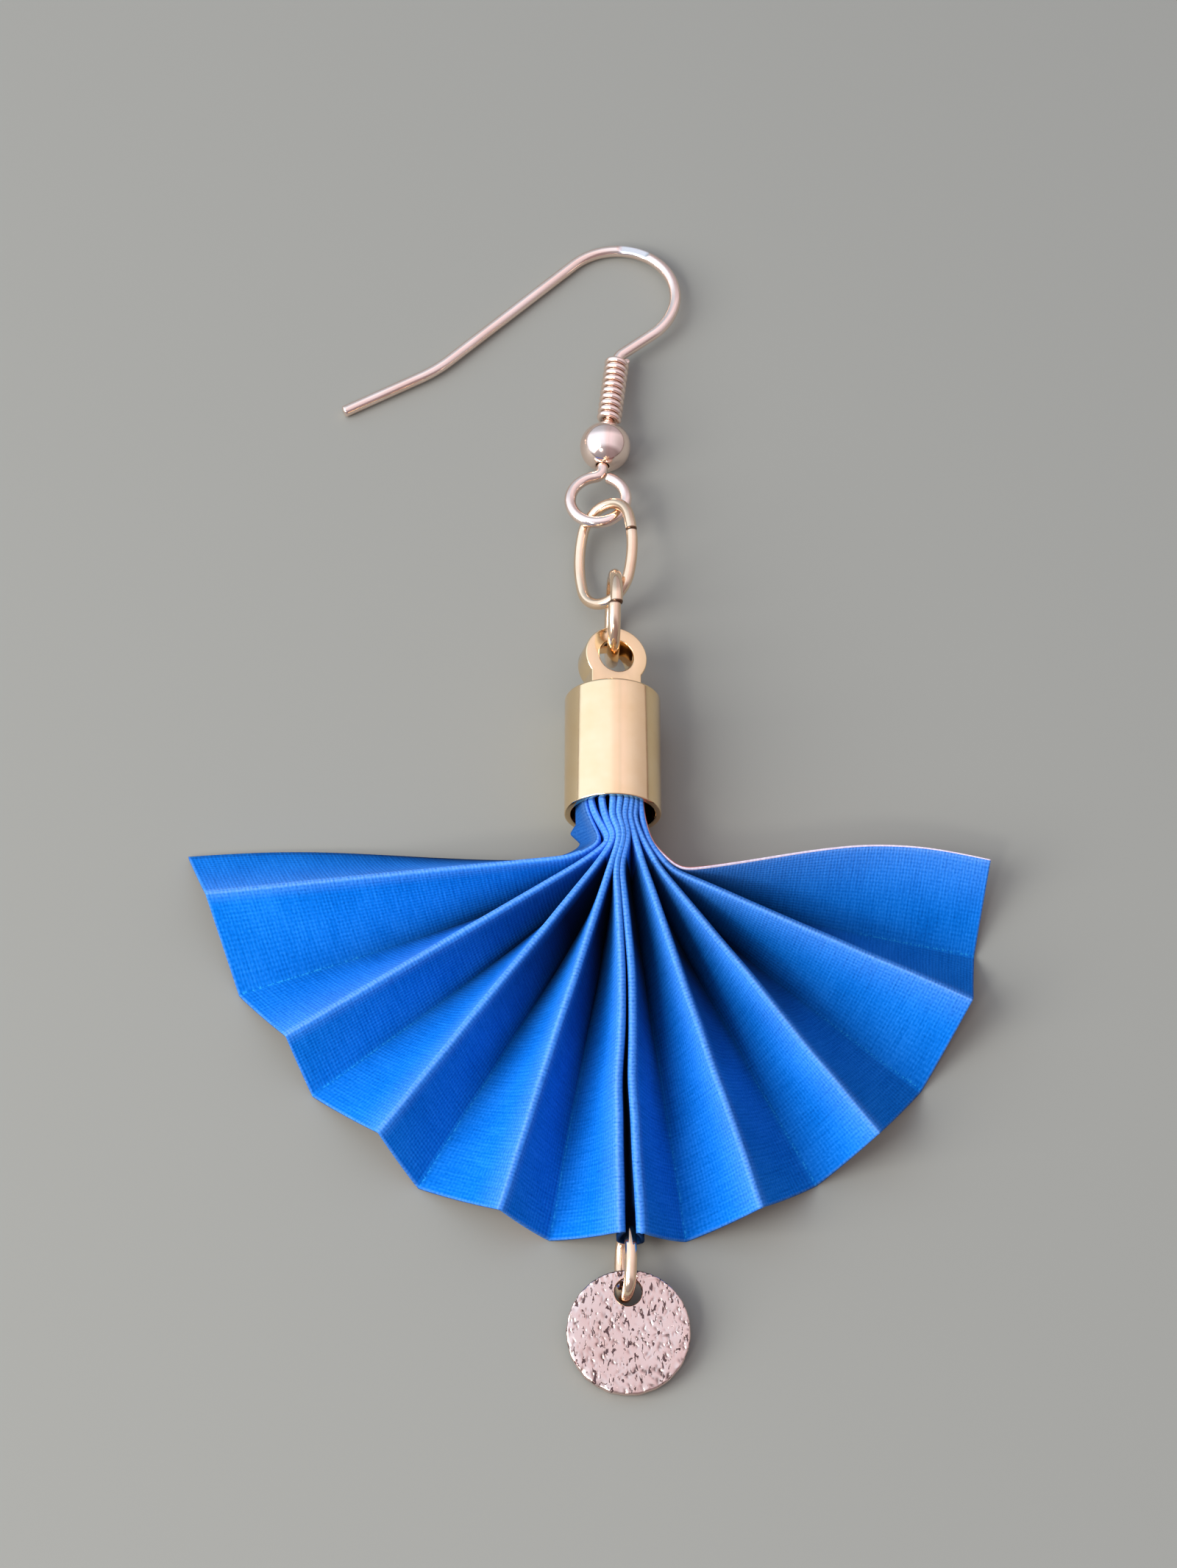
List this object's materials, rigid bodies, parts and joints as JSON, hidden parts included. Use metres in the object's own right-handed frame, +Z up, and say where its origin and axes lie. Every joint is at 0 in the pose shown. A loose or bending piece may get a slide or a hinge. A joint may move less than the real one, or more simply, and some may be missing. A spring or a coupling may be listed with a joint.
{
  "type": "fan earring",
  "caption": "Drop earring of pleated cloth gathered in a metal cord end, with an ear wire, wire links and a small disc charm.",
  "frame": {"origin": "on the surface that it lies on, under the middle of its outline", "axes": "+Y from the fan towards the ear wire, +Z up from the surface, +X to the right of both"},
  "size_m": [0.0446, 0.0722, 0.0057],
  "materials": {
    "hook_metal": "polished pale rose gold plating",
    "link_metal": "polished rose gold plating",
    "cap_metal": "polished yellow gold plating",
    "disc_metal": "pitted rose gold plating",
    "fan_cloth": "plain weave cotton, pressed pleats worn pale along the ridges"
  },
  "bodies": {
    "root": {"ear_hook": "hook_metal", "hook_coil": "hook_metal", "hook_bead": "hook_metal", "oval_link": "link_metal", "cap_ring": "link_metal", "end_cap": "cap_metal", "fan": "fan_cloth", "charm_ring": "link_metal", "charm_disc": "disc_metal"}
  },
  "joints": []
}
